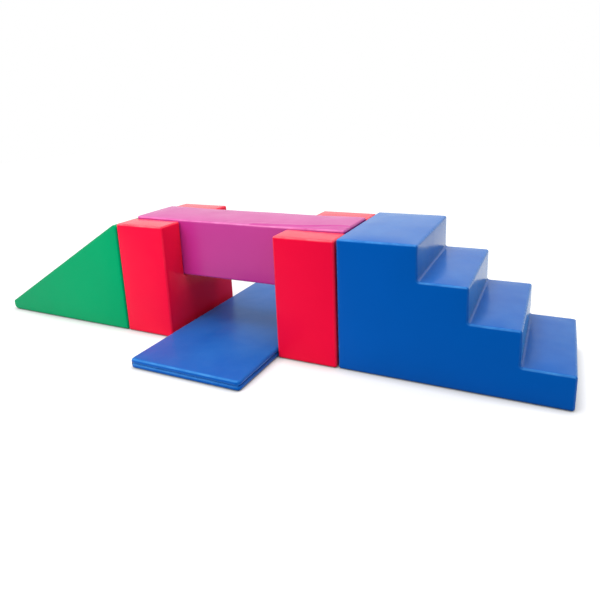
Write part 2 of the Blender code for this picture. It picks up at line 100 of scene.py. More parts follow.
# How far the padding swells, and how the sewn edges pull in.
SWELL = 0.0032
SLIGHT_SWELL = 0.0012
SNUG_SWELL = 0.0010
EDGE_SWELL = 0.0008
MAT_SWELL = 0.0024
SWELL_REACH = 0.040
SEAM_LEAN = math.pi / 4
SEAM_DEPTH = 0.0005
SEAM_WIDTH = 0.0017
PUCKER_DEPTH = 0.0004
PUCKER_SINK = 0.3 * PUCKER_DEPTH
PUCKER_REACH = 0.017
LEAST_PUCKER = 0.02
PUCKERS_PER_METRE = (38.0, 90.0)
CALM_REACH = 0.012
WAVES = ((5.5, 0.0009), (17.0, 0.00028))

# The cloth simulation of the covers: a coarse copy is blown up and held at its edges.
CLOTH_STEP = 0.022
CLOTH_ROUND_STEPS = 2
CLOTH_PRESSURE = 4.0
CLOTH_SPARE = -0.012
CLOTH_QUALITY = 5
CLOTH_FRAMES = 20
CLOTH_HELD = 0.009
CLOTH_GAIN = 0.35
CLOTH_LEAST, CLOTH_MOST = -0.0008, 0.0028
CLOTH_EVENINGS = 4

# Zips.
TAPE_THICKNESS = 0.0006
TAPE_STEP = 0.006
TAPE_SPLIT = 0.0002
COIL_PROUD = 0.0004
TEETH_MARGIN = 0.002
TOOTH_PITCH = 0.0020
TOOTH_RADIUS = 0.00045
TOOTH_TURN = 0.0003
STITCH_PITCH = 0.0036
STITCH_LENGTH = 0.0025
THREAD_RADIUS = 0.00028
STITCH_MARGIN = 0.0022
SLIDER_LENGTH = 0.008
SLIDER_THICKNESS = 0.0015
SLIDER_SOFTEN = 0.00025
PULL_LENGTH = 0.020
PULL_THICKNESS = 0.0009
PULL_SOFTEN = 0.0002
EYE_SPARE = 0.0001

# The mat's hinge: a strip with a groove along its middle and edges that lie down.
HINGE_HALF = 0.0105
HINGE_PROUD = 0.0006
HINGE_THICKNESS = 0.0009
HINGE_LEVELS = 12
GROOVE_DEPTH, GROOVE_WIDTH = 0.0016, 0.0022
HINGE_EDGE, HINGE_EDGE_SLOPE = 0.0080, 0.25

# Camera, at the photograph's place: angles are in radians, and the focal length and
# the optical axis's place are in pixels of the 600 pixel frame.
PHOTO_SIZE = 600
FOCAL = 540.5
AXIS_COLUMN = 299.4
AXIS_ROW = 242.3
CAMERA_PLACE = Vector((1.2114, -1.9358, 0.9831))
YAW, PITCH, ROLL = -0.4584, 0.2537, -0.0406

# Surroundings. The floor's glow fades from its inner to its outer distance, and its
# contact shadow reaches so far round what stands on it.
WORLD_LIGHT = 0.54
FLOOR_SIZE = 9.0
FLOOR_COLOUR = 0.78
FLOOR_SEEN_COLOUR = 0.52
GLOW_DISTANCES = (1.05, 1.8)
GLOW_STRENGTHS = (0.56, 0.80)
CONTACT_SHADOW = 0.045

# Finishes. A vinyl's roughness runs from its smoothest value to ROUGH_RANGE more. A range
# that crosses about 0.27 leaves hard-edged patches in the denoised render, so each of
# them stays on one side of it.
ROUGH_RANGE = 0.07
SEAM_STITCH = 0.0042
GRIP_PITCH = 0.006
FOAM = (0.80, 0.77, 0.62)
GREY = (0.075, 0.085, 0.105)
BLACK = (0.018, 0.018, 0.020)
NICKEL = (0.62, 0.61, 0.60)
# Each vinyl's painted edge colour and share give the painted highlight along its rounded edges;
# on the green, whose edge colour is darker, it is a painted shade line.
VINYLS = {
    "green_vinyl": dict(
        colour=(0.0006, 0.330, 0.126), smoothest=0.17, ior=1.20, sheen=0.05,
        sheen_tint=(0.0, 1.0, 0.6), painted_edge_share=0.60, painted_edge_colour=(0.0, 0.20, 0.075),
    ),
    "red_vinyl": dict(
        colour=(0.85, 0.004, 0.044), smoothest=0.15, ior=1.29, sheen=0.08,
        sheen_tint=(1.0, 0.7, 0.7), painted_edge_share=0.65, painted_edge_colour=(1.0, 0.24, 0.28),
    ),
    "purple_vinyl": dict(
        colour=(0.475, 0.024, 0.245), smoothest=0.28, ior=1.42, sheen=0.08,
        sheen_tint=(1.0, 0.4, 0.75), painted_edge_share=0.50, painted_edge_colour=(0.98, 0.36, 0.68),
        gloss_tint=(1.0, 1.0, 1.0),
    ),
    "blue_vinyl": dict(
        colour=(0.0006, 0.087, 0.42), smoothest=0.19, ior=1.36, sheen=0.17,
        sheen_tint=(0.05, 0.70, 1.0), painted_edge_share=0.62, painted_edge_colour=(0.10, 0.37, 0.79),
        gloss_tint=(0.0, 0.35, 1.0),
    ),
}
MAT_SMOOTHEST = 0.28
ZIPS = {
    "ramp": "green_vinyl", "left_support": "red_vinyl", "right_support": "red_vinyl",
    "bridge": "purple_vinyl", "stairs": "blue_vinyl", "mat_lower": "blue_vinyl",
    "mat_upper": "blue_vinyl",
}


def unit(vector):
    return vector / np.linalg.norm(vector)


def turned(vector, angle):
    c, s = math.cos(angle), math.sin(angle)
    return np.array([c * vector[0] - s * vector[1], s * vector[0] + c * vector[1]])


def spread(low, high, step, stops=()):
    """Places from low to high, through each stop between them, no further apart than step."""
    marks = sorted({low, high, *[s for s in stops if low + NEAR < s < high - NEAR]})
    places = [low]
    for start, end in zip(marks, marks[1:]):
        count = max(1, math.ceil((end - start) / step))
        places += [start + (end - start) * (k + 1) / count for k in range(count)]
    return places


def swell_of(distance):
    """The share of a face's full swell, this far in from its edge."""
    return 1.0 - np.exp(-np.maximum(distance, 0.0) / SWELL_REACH)


def distances_to(points, starts, ends):
    """The distance from each point to each stretch of line."""
    span = ends - starts
    rel = points[:, None, :] - starts[None]
    share = (rel * span).sum(-1) / np.maximum((span * span).sum(-1), 1e-12)
    return np.linalg.norm(rel - np.clip(share, 0.0, 1.0)[..., None] * span, axis=-1)


def distances_round(points, loop):
    """The distance from each point to each side of a closed outline."""
    return distances_to(points, loop, np.roll(loop, -1, axis=0))


def edges_of(shapes):
    """The edges of several arrays of faces, each a pair of points."""
    edges = [np.stack([f, np.roll(f, -1, axis=1)], axis=-1).reshape(-1, 2) for f in shapes]
    return np.concatenate(edges)


def new_object(name, data):
    thing = bpy.data.objects.new(name, data)
    bpy.context.scene.collection.objects.link(thing)
    return thing


def new_mesh(name, points, faces, smooth_below=None, merged=False):
    """A mesh, shaded smooth where its faces meet at less than an angle in degrees."""
    mesh = bpy.data.meshes.new(name)
    mesh.from_pydata(points, [], faces)
    if merged:
        merge_points(mesh)
    if smooth_below:
        mesh.shade_smooth()
        mesh.set_sharp_from_angle(angle=math.radians(smooth_below))
    return mesh


def merge_points(mesh):
    """Merges points that coincide and turns every face outward."""
    bm = bmesh.new()
    bm.from_mesh(mesh)
    bmesh.ops.remove_doubles(bm, verts=bm.verts, dist=1e-6)
    bmesh.ops.recalc_face_normals(bm, faces=bm.faces)
    bm.to_mesh(mesh)
    bm.free()


@dataclass
class Block:
    """A padded block, drawn along X or Y.

    The outline lists (across, up, swell) points anticlockwise, where swell is how far
    the side that follows the point stands proud in its middle. A hole is the (low, high)
    box of an opening. A dent is (path, facing, radius, depth), and depth below 0 is a
    bump. The sides swell only in the stretch that is free, if one is given. The plan is
    the (low, high) box whose upright corners are made rounder.
    """

    outline: list
    axis: str
    low: float
    high: float
    radius: float = BLOCK_RADIUS
    rear_radius: float = None
    fillet: float = 0.0
    end_swells: tuple = (0.0, 0.0)
    corner_radii: dict = field(default_factory=dict)
    holes: tuple = ()
    dents: tuple = ()
    free: tuple = None
    plan: tuple = None
    sewn: bool = True
    step: float = STEP
    round_steps: int = ROUND_STEPS

    @property
    def corners(self):
        return np.array([corner[:2] for corner in self.outline], float)

    @property
    def end_radii(self):
        return self.radius, self.rear_radius or self.radius

    @property
    def along_axis(self):
        return 0 if self.axis == "X" else 1

    def world(self, across, along, up):
        level = [along, across] if self.axis == "X" else [across, along]
        return np.stack([*level, up], axis=-1)

    def stops(self, axis):
        """Where the openings start and end on a world axis."""
        return [corner[axis] for hole in self.holes for corner in hole]


@dataclass
class Ring:
    """The outline of a block, sampled all round."""

    points: np.ndarray
    normals: np.ndarray
    swell: np.ndarray
    length: np.ndarray
    seam: np.ndarray
    edge: np.ndarray


def sample_ring(block):
    corners = block.corners
    count = len(corners)
    arcs = []
    for i, here in enumerate(corners):
        into, out = unit(here - corners[i - 1]), unit(corners[(i + 1) % count] - here)
        turn = math.atan2(into[0] * out[1] - into[1] * out[0], into @ out)
        way = 1 if turn > 0 else -1
        usual = block.radius + CORNER_SPARE if way > 0 else block.fillet
        radius = block.corner_radii.get(i, usual)
        outward = np.array([into[1], -into[0]])
        centre = here - into * radius * math.tan(abs(turn) / 2) - outward * radius * way
        half = max(1, round(block.round_steps / 2 * abs(turn) / (math.pi / 2)))
        fan = [turned(outward, turn * k / (2 * half)) for k in range(2 * half + 1)]
        arcs.append(([centre + normal * radius * way for normal in fan], fan, way))

    points, normals, middles = [], [], []
    for i, (arc, fan, _) in enumerate(arcs):
        middles.append(len(points) + len(arc) // 2)
        points += arc
        normals += fan
        start, end, normal = arc[-1], arcs[(i + 1) % count][0][0], fan[-1]
        k = 0 if abs(end[0] - start[0]) > abs(end[1] - start[1]) else 1
        stops = ()
        if normal[1] < -STRAIGHT:
            stops = block.stops(1 - block.along_axis)
        elif normal[0] > STRAIGHT and block.axis == "X":
            stops = block.stops(2)
        places = spread(*sorted((start[k], end[k])), block.step, stops)[1:-1]
        for place in places[::-1] if start[k] > end[k] else places:
            points.append(start + (end - start) * (place - start[k]) / (end[k] - start[k]))
            normals.append(normal)

    points, normals = np.array(points), np.array(normals)
    steps = np.linalg.norm(np.roll(points, -1, axis=0) - points, axis=1)
    length = np.concatenate([[0.0], np.cumsum(steps)[:-1]])
    whole = steps.sum()
    marks = length[middles]
    side = (np.searchsorted(marks, length, side="right") - 1) % count
    swell = np.array([corner[2] for corner in block.outline])[side]
    swell = swell * swell_of((length - marks[side]) % whole)
    swell = swell * swell_of((marks[(side + 1) % count] - length) % whole)
    seam, edge = np.ones(len(points)), np.ones(len(points))
    for corner, mark, (_, _, way) in zip(corners, marks, arcs):
        gap = np.abs(length - mark)
        gap = np.minimum(gap, whole - gap)
        if way > 0:
            edge = np.minimum(edge, gap)
        if corner[1] < corners[:, 1].min() + 1e-4:
            seam = np.minimum(seam, gap)
    return Ring(points, normals, swell, length, seam, edge)


def sample_rows(block):
    """(place along the axis, inset, lean) of each ring, leaning a quarter turn on the ends."""
    leans = [math.pi / 2 * k / block.round_steps for k in range(block.round_steps, 0, -1)]
    front, rear = block.end_radii
    stops = block.stops(block.along_axis)
    middle = spread(block.low + front, block.high - rear, block.step, stops)
    start, end = (
        [(spot - way * radius * (1 - math.sin(a)), radius * (1 - math.cos(a)), way * a)
         for a in leans]
        for spot, radius, way in ((block.low, front, -1), (block.high, rear, 1))
    )
    return np.array(start + [(place, 0.0, 0.0) for place in middle] + end[::-1])


def inside(points, outline):
    """Which points lie inside a closed outline."""
    x, y = points[:, :1], points[:, 1:]
    x1, y1 = outline[:, 0], outline[:, 1]
    x2, y2 = np.roll(x1, -1), np.roll(y1, -1)
    crosses = (y1 > y) != (y2 > y)
    with np.errstate(divide="ignore", invalid="ignore"):
        at = x1 + (y - y1) * (x2 - x1) / (y2 - y1)
    return np.count_nonzero(crosses & (x < at), axis=1) % 2 == 1


def rounder_corners(points, plan):
    """Points moved so that the upright corners of the mat's plan, (low, high), get rounder."""
    low, high = (np.array(corner[:2], float) for corner in plan)
    middle, half = (low + high) / 2, (high - low) / 2
    rel = points[:, :2] - middle
    past = np.abs(rel) - (half - MAT_CORNER)
    moved = (past > 1e-9).all(axis=1)
    out = past[moved]
    way = out / np.linalg.norm(out, axis=1)[:, None]
    radius = np.where(rel[moved, 1] < 0, MAT_RADIUS, MAT_REAR_RADIUS)
    centre = MAT_CORNER - radius
    to_arc = way.sum(axis=1) * centre
    reach = to_arc + np.sqrt(np.maximum(to_arc ** 2 - 2 * centre ** 2 + radius ** 2, 0.0))
    beside_arc = way.min(axis=1) * MAT_CORNER < way.max(axis=1) * centre
    reach = np.where(beside_arc, MAT_CORNER / way.max(axis=1), reach)
    points = points.copy()
    placed = out * (MAT_CORNER / reach)[:, None] + (half - MAT_CORNER)
    points[moved, :2] = middle + np.sign(rel[moved]) * placed
    return points


def fill_end(rim, block, at_rear):
    """More points inside an end's rim, and triangles that number the rim's points first."""
    extra, edges, gaps = [], [], []
    if at_rear and block.axis == "Y":
        gaps = [(low[::2], high[::2]) for low, high in block.holes if high[1] > block.high]
    for low, high in gaps:
        xs = spread(low[0], high[0], block.step)
        loop = [(x, low[1]) for x in xs] + [(x, high[1]) for x in reversed(xs)]
        first = len(rim) + len(extra)
        edges += [(first + k, first + (k + 1) % len(loop)) for k in range(len(loop))]
        extra += loop
    low, high = rim.min(axis=0), rim.max(axis=0)
    across, up = (spread(low[k], high[k], block.step)[1:-1] for k in (0, 1))
    grid = np.stack(np.meshgrid(across, up), axis=-1).reshape(-1, 2)
    grid = grid[inside(grid, rim)]
    far = distances_round(grid, rim).min(axis=1) > RIM_SPARE * block.step
    spare = OPENING_SPARE * block.step
    for low, high in gaps:
        far &= ~((grid > low - spare) & (grid < high + spare)).all(axis=1)
    extra = np.array(extra + grid[far].tolist()).reshape(-1, 2)
    everything = np.concatenate([rim, extra])
    edges += [(k, (k + 1) % len(rim)) for k in range(len(rim))]
    found = delaunay_2d_cdt([Vector(p) for p in everything], edges, [], 0, 1e-7, True)
    number = np.array([min(ids) for ids in found[3]])
    triangles = number[np.array(found[2])]
    a, b, c = (everything[triangles[:, k]] for k in range(3))
    ab, ac = b - a, c - a
    doubled = np.abs(ab[:, 0] * ac[:, 1] - ab[:, 1] * ac[:, 0])
    longest = np.linalg.norm([ab, c - b, ac], axis=2).max(axis=0)
    whole = inside((a + b + c) / 3, rim) & (doubled > LEAST_HEIGHT * longest)
    return extra, triangles[whole]


def waves(places, seed):
    """Slow unevenness of the padding under the cover."""
    shift, total = Vector((seed, 0, 0)), np.zeros(len(places))
    for scale, height in WAVES:
        total += height * np.array([noise.noise(Vector(p) * scale + shift) for p in places])
    return total


def puckers(along, near, seed):
    """Short gathers that run off a seam."""
    values = np.zeros(len(along))
    for i in np.nonzero(near > LEAST_PUCKER)[0]:
        places = [Vector((along[i] * often, seed, often)) for often in PUCKERS_PER_METRE]
        values[i] = sum(noise.noise(place) for place in places) * near[i]
    return values * PUCKER_DEPTH


@dataclass
class Surface:
    """The plain surface of a block, before its padding swells."""

    points: np.ndarray
    normals: np.ndarray
    quads: np.ndarray
    triangles: np.ndarray
    swell: np.ndarray
    seam: np.ndarray
    edge: np.ndarray
    along: np.ndarray
    still: np.ndarray


def make_surface(block):
    ring, rows = sample_ring(block), sample_rows(block)
    size = len(rows), len(ring.points)
    along, inset, lean = (rows[:, k][:, None] for k in range(3))
    flat = ring.points[None] - ring.normals[None] * inset[..., None]
    level = np.broadcast_to(along, size)
    places = block.world(flat[..., 0], level, flat[..., 1])
    leaning = np.broadcast_to(np.sin(lean), size)
    across, up = (np.cos(lean) * ring.normals[:, k] for k in (0, 1))
    normals = block.world(across, leaning, up)

    def end_swell(points, at_rear):
        share = swell_of(distances_round(points, block.corners)).prod(axis=1)
        return share * block.end_swells[int(at_rear)]

    between = swell_of(along - block.low) * swell_of(block.high - along)
    side_swell = ring.swell[None] * between
    if block.free:
        start, end = block.free
        windowed = between * swell_of(along - start) * swell_of(end - along)
        sideways = np.abs(ring.normals[None, :, 0]) > 0.5
        side_swell = np.where(sideways, ring.swell[None] * windowed, side_swell)
    rounding = lean != 0
    end_part = np.zeros(size)
    for r in np.nonzero(rounding[:, 0])[0]:
        end_part[r] = end_swell(flat[r], lean[r, 0] > 0)
    swell = np.cos(lean) ** 2 * side_swell + np.sin(lean) ** 2 * end_part
    front, rear = block.end_radii
    inwards = np.minimum(
        along - block.low + front * (SEAM_LEAN - 1), block.high - along + rear * (SEAM_LEAN - 1),
    )
    end_seam = np.where(lean < 0, front, rear) * np.abs(np.abs(lean) - SEAM_LEAN)
    end_seam = np.broadcast_to(np.where(rounding, end_seam, inwards), size)
    ring_seam = np.broadcast_to(ring.seam[None], size)

    grid = np.arange(level.size).reshape(size)
    beside = np.roll(grid, -1, axis=1)
    quads = np.stack([grid[:-1], beside[:-1], beside[1:], grid[1:]], axis=-1).reshape(-1, 4)
    on_grid = (
        places, normals, swell, np.minimum(end_seam, ring_seam),
        np.minimum(end_seam, ring.edge[None]),
        np.where(end_seam < ring_seam, ring.length[None], level),
        np.broadcast_to(ring.swell[None] == 0, size),
    )
    columns = [[part.reshape(grid.size, -1)] for part in on_grid]
    triangles, total = [], grid.size
    for at_rear, row, spot, way in ((0, 0, block.low, -1.0), (1, size[0] - 1, block.high, 1.0)):
        rim = flat[row]
        extra, found = fill_end(rim, block, at_rear)
        count = len(extra)
        gap = distances_round(extra, rim)
        rim_gap = block.end_radii[at_rear] * SEAM_LEAN + gap.min(axis=1)
        on_end = (
            block.world(extra[:, 0], np.full(count, spot), extra[:, 1]),
            block.world(np.zeros(count), np.full(count, way), np.zeros(count)),
            end_swell(extra, at_rear), rim_gap, rim_gap, ring.length[gap.argmin(axis=1)],
            np.full(count, block.end_swells[at_rear] == 0),
        )
        for column, part in zip(columns, on_end):
            column.append(part.reshape(-1, column[0].shape[1]))
        on_rim = found < size[1]
        triangles.append(found + np.where(on_rim, row * size[1], total - size[1]))
        total += count
    points, normals, *marks = (np.concatenate(column) for column in columns)
    shapes = [quads, np.concatenate(triangles)]
    for k, faces in enumerate(shapes):
        centre = points[faces].mean(axis=1)
        for low, high in block.holes:
            kept = ~((centre > low) & (centre < high)).all(axis=1)
            faces, centre = faces[kept], centre[kept]
        shapes[k] = facing_out(faces, points, normals)
    if block.plan:
        points = rounder_corners(points, block.plan)
    return Surface(points, normals, *shapes, *(mark[:, 0] for mark in marks))


def facing_out(faces, points, normals):
    """The faces, each wound so that it looks the way of its points' normals."""
    a, b, c = (points[faces[:, k]] for k in (0, 1, -1))
    inward = (np.cross(b - a, c - a) * normals[faces].sum(axis=1)).sum(axis=1) < 0
    faces[inward] = faces[inward][:, ::-1]
    return faces


def away_from_holes(surface, block):
    """0 at the rim of an opening, and 1 well away from them all."""
    away = np.ones(len(surface.points))
    for low, high in block.holes:
        gap = np.linalg.norm(surface.points - np.clip(surface.points, low, high), axis=1)
        away = np.minimum(away, 1 - np.exp(-(gap / CALM_REACH) ** 2))
    return away


def evened(values, shapes, rounds):
    """The values with each point's neighbours averaged in, as many times as given."""
    pairs = edges_of(shapes)
    here, there = np.concatenate([pairs, pairs[:, ::-1]]).T
    count = np.bincount(here, minlength=len(values))
    for _ in range(rounds):
        values = (values + np.bincount(here, values[there], len(values))) / (1 + count)
    return values


def relief_of(surface, block, seed):
    """How far a sewn cover stands proud of the block's plain surface, point by point."""
    away = away_from_holes(surface, block)
    seam = surface.seam
    uneven = waves(surface.points, seed) * swell_of(seam * 2.0) * away
    rise = surface.swell * away + np.where(surface.still, np.minimum(uneven, 0.0), uneven)
    rise = rise + puckers(surface.along, np.exp(-seam / PUCKER_REACH) * away, seed)
    rise = rise - SEAM_DEPTH * np.exp(-(seam / SEAM_WIDTH) ** 2) - PUCKER_SINK * away
    for path, facing, radius, depth in block.dents:
        path = np.array(path, float)
        gap = distances_to(surface.points, path[:-1], path[1:]).min(axis=1)
        faced = np.maximum(surface.normals @ facing, 0.0)
        rise = rise - depth * np.exp(-(gap / radius) ** 2) * faced
    return rise


def blown_up(block):
    """A coarse cover and how far a cloth simulation lifts each of its points."""
    coarse = make_surface(
        replace(block, step=CLOTH_STEP, round_steps=CLOTH_ROUND_STEPS, holes=())
    )
    faces = coarse.quads.tolist() + coarse.triangles.tolist()
    mesh = new_mesh("blown_up", coarse.points.tolist(), faces)
    balloon = new_object("blown_up", mesh)
    held = (coarse.edge < CLOTH_HELD) | (coarse.seam < CLOTH_HELD) | coarse.still
    balloon.vertex_groups.new(name="held").add(np.nonzero(held)[0].tolist(), 1.0, "REPLACE")
    cloth = balloon.modifiers.new("vinyl", "CLOTH")
    cloth.settings.vertex_group_mass = "held"
    cloth.settings.use_pressure = True
    cloth.settings.uniform_pressure_force = CLOTH_PRESSURE
    cloth.settings.effector_weights.gravity = 0.0
    cloth.settings.shrink_min = CLOTH_SPARE
    cloth.settings.quality = CLOTH_QUALITY
    cloth.collision_settings.use_collision = False
    cloth.point_cache.frame_end = CLOTH_FRAMES
    scene = bpy.context.scene
    for moment in range(1, CLOTH_FRAMES + 1):
        scene.frame_set(moment)
    shaped = balloon.evaluated_get(bpy.context.evaluated_depsgraph_get()).data
    places = np.empty(len(coarse.points) * 3, np.float32)
    shaped.vertices.foreach_get("co", places)
    lift = ((places.reshape(-1, 3) - coarse.points) * coarse.normals).sum(axis=1)
    bpy.data.objects.remove(balloon)
    bpy.data.meshes.remove(mesh)
    scene.frame_set(1)
    return coarse, faces, lift


def cloth_rise(surface, block):
    """The simulated lift of a cover, carried over to its fine surface."""
    coarse, faces, lift = blown_up(block)
    lift = np.clip(lift * CLOTH_GAIN, CLOTH_LEAST, CLOTH_MOST)
    tree = BVHTree.FromPolygons([Vector(p) for p in coarse.points], faces)
    rise = np.empty(len(surface.points))
    for i, point in enumerate(surface.points):
        place, _, face, _ = tree.find_nearest(Vector(point))
        corners = faces[face]
        gaps = np.linalg.norm(coarse.points[corners] - np.array(place), axis=1)
        shares = 1.0 / np.maximum(gaps, 1e-5) ** 2
        rise[i] = (lift[corners] * shares).sum() / shares.sum()
    rise = rise * np.clip(surface.edge / (2 * CLOTH_HELD), 0.0, 1.0)
    rise = evened(rise, [surface.quads, surface.triangles], CLOTH_EVENINGS)
    return rise * np.clip(surface.swell / SWELL, 0.0, 1.0) * away_from_holes(surface, block)


def with_inner_side(shapes, count):
    """The faces of a skin with its inner side, and rims round its openings."""
    edges = edges_of(shapes)
    forth, back = edges @ (count, 1), edges @ (1, count)
    a, b = edges[~np.isin(forth, back)].T
    rims = np.stack([b, a, a + count, b + count], axis=-1)
    return [*shapes, *[faces[:, ::-1] + count for faces in shapes], rims]


def block_mesh(name, block, seed=0.0, thickness=0.0):
    """The mesh of a padded block: a shell where it has a thickness, otherwise a solid."""
    surface = make_surface(block)
    skin, shapes = surface.points, [surface.quads, surface.triangles]
    marks = {label: getattr(surface, label) for label in ("seam", "edge", "along")}
    if block.sewn:
        rise = relief_of(surface, block, seed)
        rise = rise + cloth_rise(surface, block)
        skin = skin + surface.normals * rise[:, None]
    if thickness:
        shapes = with_inner_side(shapes, len(skin))
        skin = np.concatenate([skin, skin - surface.normals * thickness])
        marks = {label: np.tile(values, 2) for label, values in marks.items()}
    used = np.unique(np.concatenate([faces.ravel() for faces in shapes]))
    number = np.zeros(len(skin), int)
    number[used] = np.arange(len(used))
    faces = [face for faces in shapes for face in number[faces].tolist()]
    mesh = new_mesh(name, skin[used].tolist(), faces, smooth_below=55)
    for label, values in marks.items():
        attribute = mesh.attributes.new(label, "FLOAT", "POINT")
        attribute.data.foreach_set("value", values[used].astype(np.float32))
    return mesh


class Nodes:
    """The nodes of a material or world, with a short way to add and link them."""

    def __init__(self, owner):
        owner.use_nodes = True
        self.tree = owner.node_tree

    def add(self, kind, inputs=None, **settings):
        node = self.tree.nodes.new(kind)
        for key, value in settings.items():
            setattr(node, key, value)
        for key, value in (inputs or {}).items():
            self.plug(node.inputs[key], value)
        return node

    def plug(self, socket, value):
        if isinstance(value, bpy.types.NodeSocket):
            self.tree.links.new(value, socket)
        else:
            socket.default_value = value

    def math(self, operation, first, second=0.0):
        return self.add("ShaderNodeMath", {0: first, 1: second}, operation=operation).outputs[0]

    def plus(self, first, second):
        return self.math("ADD", first, second)

    def times(self, first, *others):
        for other in others:
            first = self.math("MULTIPLY", first, other)
        return first

    def vector_math(self, operation, *vectors):
        inputs = dict(enumerate(vectors))
        return self.add("ShaderNodeVectorMath", inputs, operation=operation).outputs

    def ramp(self, value, low, high, start=0.0, end=1.0):
        names = ("Value", "From Min", "From Max", "To Min", "To Max")
        inputs = dict(zip(names, (value, low, high, start, end)))
        return self.add("ShaderNodeMapRange", inputs).outputs["Result"]


class Finish(Nodes):
    """A material's nodes, with the patterns that its colour and relief are made of."""

    def __init__(self, name):
        self.material = bpy.data.materials.new(name)
        super().__init__(self.material)
        coordinates = self.add("ShaderNodeTexCoord").outputs
        self.place, self.facing = coordinates["Object"], coordinates["Normal"]

    def mapped(self, **inputs):
        return self.add("ShaderNodeMapping", {"Vector": self.place, **inputs}).outputs["Vector"]

    def noise(self, scale, detail=2.0, place=None, roughness=0.5):
        inputs = {"Scale": scale, "Detail": detail, "Roughness": roughness}
        inputs["Vector"] = place or self.place
        return self.add("ShaderNodeTexNoise", inputs).outputs["Fac"]

    def cells(self, scale):
        inputs = {"Vector": self.place, "Scale": scale}
        return self.add("ShaderNodeTexVoronoi", inputs).outputs["Distance"]

    def stripes(self, scale, place=None, distortion=0.0, **settings):
        inputs = {"Vector": place or self.place, "Scale": scale, "Distortion": distortion}
        return self.add("ShaderNodeTexWave", inputs, **settings).outputs["Fac"]

    def parts_of(self, vector):
        return self.add("ShaderNodeSeparateXYZ", {"Vector": vector}).outputs

    def value_of(self, label):
        return self.add("ShaderNodeAttribute", attribute_name=label).outputs["Fac"]

    def mix(self, share, first, second):
        node = self.add("ShaderNodeMix", data_type="RGBA")
        sockets = {socket.identifier: socket for socket in node.inputs}
        for key, value in (("Factor_Float", share), ("A_Color", first), ("B_Color", second)):
            self.plug(sockets[key], value)
        return next(s for s in node.outputs if s.identifier == "Result_Color")

    def bump(self, height, distance, strength, below=None):
        inputs = {"Height": height, "Distance": distance, "Strength": strength}
        if below:
            inputs["Normal"] = below
        return self.add("ShaderNodeBump", inputs).outputs["Normal"]

    def finish(self, colour, roughness, normal, **fixed):
        inputs = {key.replace("_", " "): value for key, value in fixed.items()}
        inputs |= {"Base Color": colour, "Roughness": roughness, "Normal": normal}
        for key, value in inputs.items():
            self.plug(self.tree.nodes["Principled BSDF"].inputs[key], value)
        return self.material


def tint(colour, factor=1.0, lift=0.0):
    return (*[min(1.0, c * factor + lift) for c in colour], 1.0)


def make_vinyl(
    name, colour, smoothest, ior, sheen, sheen_tint, painted_edge_share, painted_edge_colour, gloss_tint=None,
):
    """Satin vinyl with a fine leather grain, sewn edges, light handling marks, a painted
    highlight along its rounded edges and painted shade near the floor.
    """
    g = Finish(name)
    pebbles = g.cells(620.0)
    grain = g.plus(pebbles, g.times(g.noise(330.0, 3.0), 0.6))
    seam, edge = g.value_of("seam"), g.value_of("edge")
    height, facing = g.parts_of(g.place)["Z"], g.parts_of(g.facing)
    stitch = g.math("SINE", g.times(g.value_of("along"), 2 * math.pi / SEAM_STITCH))
    stitch = g.times(stitch, g.ramp(seam, 0.0, SEAM_STITCH, 1.0, 0.0))
    normal = g.bump(g.noise(24.0, 3.0), 0.0013, 0.34)
    normal = g.bump(stitch, 0.00035, 0.55, normal)
    normal = g.bump(grain, 0.00016, 0.30, normal)

    base = g.mix(g.ramp(g.noise(2.6), 0.30, 0.70), tint(colour, 0.955), tint(colour, 1.035))
    base = g.mix(g.ramp(pebbles, 0.05, 0.55, 0.10, 0.0), base, tint(colour, 0.72))
    rubbed = g.times(
        g.ramp(edge, 0.001, 0.010, 1.0, 0.0), g.ramp(g.noise(38.0, 4.0), 0.45, 0.75),
    )
    base = g.mix(g.times(rubbed, 0.16), base, tint(colour, 1.05, 0.035))
    # Faint wear on upward faces, mixed towards the painted edge colour: partly wear and partly a
    # painted highlight on the tops. On the green it becomes faint painted shade.
    worn = g.times(
        g.ramp(facing["Z"], 0.70, 0.98), g.ramp(g.noise(9.0, 3.0), 0.30, 0.70, 0.05, 0.15),
    )
    base = g.mix(worn, base, tint(painted_edge_colour))
    # Painted highlight along the rounded edges: none on the lowest edges, weaker where the faces
    # turn down or towards +X. On the green the darker edge colour makes it a painted shade line.
    painted_edge_light = g.times(
        g.ramp(edge, 0.0015, 0.0060, 1.0, 0.0),
        g.ramp(g.noise(19.0, 3.0), 0.25, 0.65, 0.35, 1.0),
        g.ramp(height, 0.011, 0.015, 0.0, painted_edge_share),
        g.ramp(facing["Z"], 0.05, 0.55, 0.22, 1.0),
        g.ramp(facing["X"], 0.05, 0.45, 1.0, 0.30),
    )
    base = g.mix(painted_edge_light, base, tint(painted_edge_colour))
    base = g.mix(g.ramp(seam, 0.0, 0.0008, 0.25, 0.0), base, tint(colour, 0.4))
    # Painted shade: each cover is painted darker in its lowest 12 mm, most below 3 mm, where it
    # meets the floor.
    base = g.mix(g.ramp(height, 0.003, 0.012, 0.80, 0.0), base, tint(colour, 0.22))

    scuffs = g.noise(3.2, 5.0, g.mapped(Scale=(3.0, 26.0, 26.0)), 0.62)
    rough = g.ramp(g.noise(7.5, 4.0), 0.25, 0.75, smoothest, smoothest + ROUGH_RANGE)
    rough = g.plus(rough, g.ramp(scuffs, 0.60, 0.90, 0.0, 0.012))
    rough = g.plus(rough, g.times(rubbed, 0.10))
    return g.finish(
        base, rough, normal, IOR=ior, Sheen_Weight=sheen, Sheen_Roughness=0.4,
        Sheen_Tint=tint(sheen_tint),
        Specular_Tint=tint(gloss_tint) if gloss_tint else tint(colour, 1 / max(colour)),
    )


